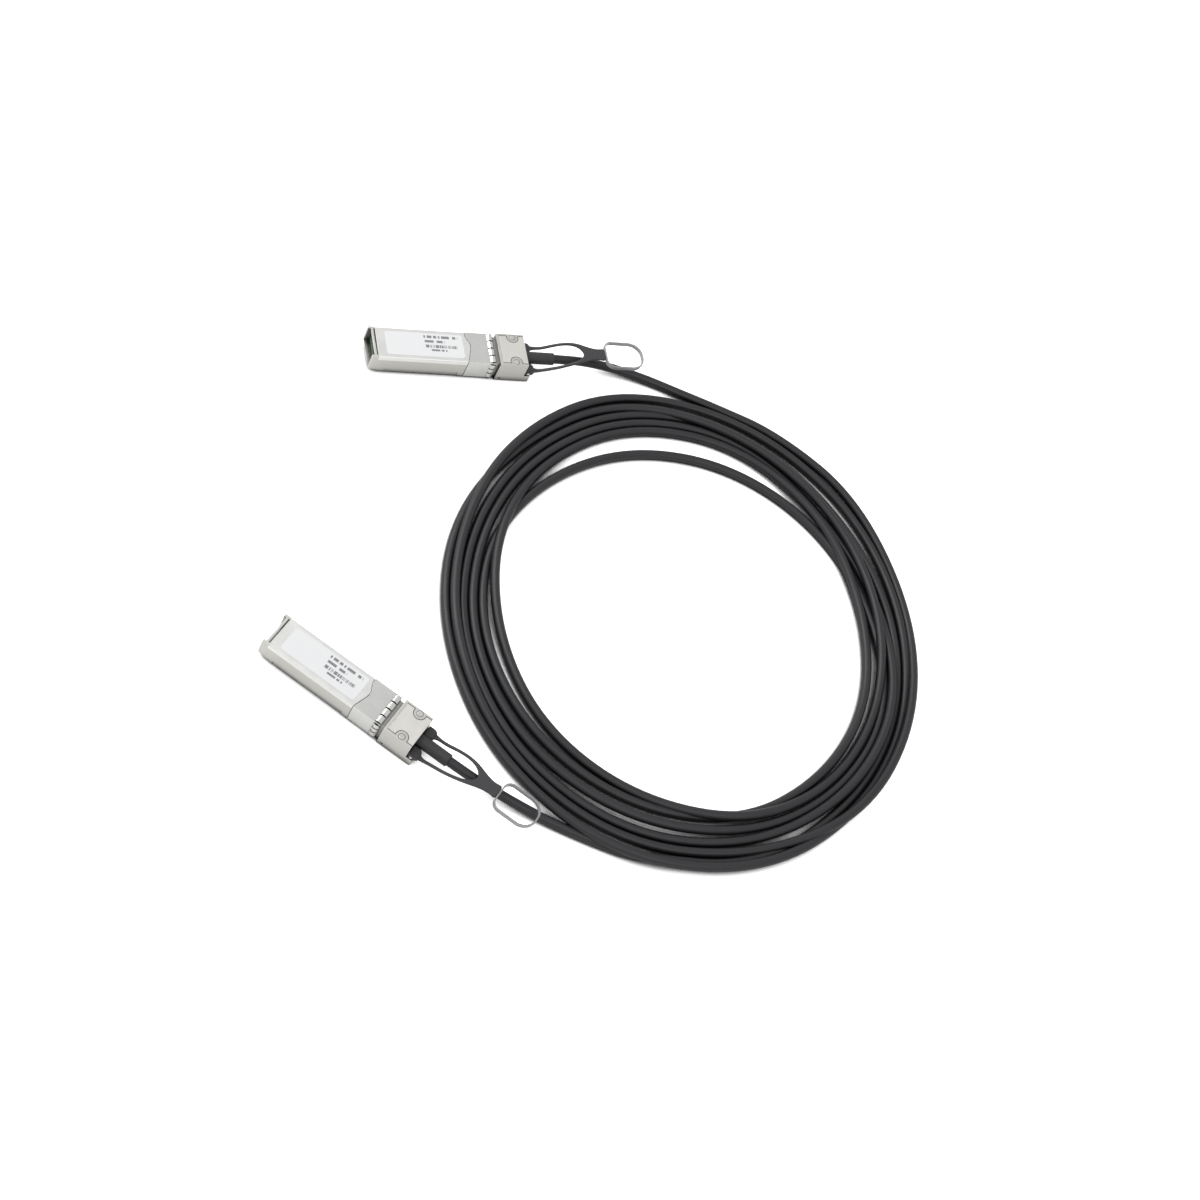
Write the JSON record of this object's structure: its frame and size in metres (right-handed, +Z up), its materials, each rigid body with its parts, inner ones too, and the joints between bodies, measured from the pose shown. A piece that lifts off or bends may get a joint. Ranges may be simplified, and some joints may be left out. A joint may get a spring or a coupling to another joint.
{
  "type": "direct attach copper cable",
  "caption": "Coiled twin-axial copper cable with a small pluggable metal plug at each end, each with a sprung latch release and a pull tab.",
  "frame": {"origin": "middle of the rear housing's underside of plug b, on the table", "axes": "+Z up from the table; plug b points along -X, its cable leaving along +X; +Y across the coil, away from plug b"},
  "size_m": [0.2482, 0.2175, 0.0112],
  "materials": {
    "die_cast": "nickel-plated die casting, fine satin",
    "spring_sheet": "thin bright spring sheet, smooth",
    "label_stock": "smooth white label stock",
    "card": "green solder mask, semi-gloss",
    "gold_plate": "hard gold plate, smooth",
    "chip_body": "moulded black body",
    "wire_sleeve": "white wire insulation",
    "clamp_body": "moulded black clamp",
    "sleeve_black": "satin black shrink sleeve",
    "tab_black": "fine matte black moulding",
    "clear_strip": "clear strip, glossy",
    "cable_jacket": "satin black cable jacket"
  },
  "bodies": {
    "cable_assembly": {"lower_housing_a": "die_cast", "top_cover_a": "die_cast", "label_a": "label_stock", "emi_collar_a": "spring_sheet", "rear_cover_a": "die_cast", "cover_rivets_a": "die_cast", "circuit_card_a": "card", "edge_contacts_a": "gold_plate", "memory_chip_a": "chip_body", "wire_pairs_a": "wire_sleeve", "cable_clamp_a": "clamp_body", "strain_relief_a": "sleeve_black", "latch_pin_a": "spring_sheet", "return_springs_a": "spring_sheet", "lower_housing_b": "die_cast", "top_cover_b": "die_cast", "label_b": "label_stock", "emi_collar_b": "spring_sheet", "rear_cover_b": "die_cast", "cover_rivets_b": "die_cast", "circuit_card_b": "card", "edge_contacts_b": "gold_plate", "memory_chip_b": "chip_body", "wire_pairs_b": "wire_sleeve", "cable_clamp_b": "clamp_body", "strain_relief_b": "sleeve_black", "latch_pin_b": "spring_sheet", "return_springs_b": "spring_sheet", "cable_lead_a": "cable_jacket", "cable_coil": "cable_jacket", "cable_lead_b": "cable_jacket"},
    "release_unit_a": {"release_slide_a": "spring_sheet", "pull_tab_a": "tab_black", "tab_pins_a": "spring_sheet", "pull_loop_a": "clear_strip"},
    "rocker_a": {"latch_a": "die_cast"},
    "release_unit_b": {"release_slide_b": "spring_sheet", "pull_tab_b": "tab_black", "tab_pins_b": "spring_sheet", "pull_loop_b": "clear_strip"},
    "rocker_b": {"latch_b": "die_cast"}
  },
  "joints": [
    {"name": "release_a", "type": "slide", "parent": "cable_assembly", "child": "release_unit_a", "axis": [0.7513, 0.66, 0], "range_m": [0, 0.002], "stiffness_N_per_m": 350, "springref_m": -0.003, "deforming": ["return_springs_a"]},
    {"name": "latch_a_rock", "type": "hinge", "parent": "cable_assembly", "child": "rocker_a", "pos_m": [-0.06397, 0.15339, 0.00195], "axis": [-0.66, 0.7513, 0], "range_deg": [0, 8]},
    {"name": "release_b", "type": "slide", "parent": "cable_assembly", "child": "release_unit_b", "axis": [1, 0, 0], "range_m": [0, 0.002], "stiffness_N_per_m": 350, "springref_m": -0.003, "deforming": ["return_springs_b"]},
    {"name": "latch_b_rock", "type": "hinge", "parent": "cable_assembly", "child": "rocker_b", "pos_m": [-0.00965, 0, 0.00195], "axis": [0, 1, 0], "range_deg": [0, 8]}
  ],
  "couplings": [
    {"joint": "latch_a_rock", "follows": "release_a", "rad_per_m": 69.8},
    {"joint": "latch_b_rock", "follows": "release_b", "rad_per_m": 69.8}
  ]
}
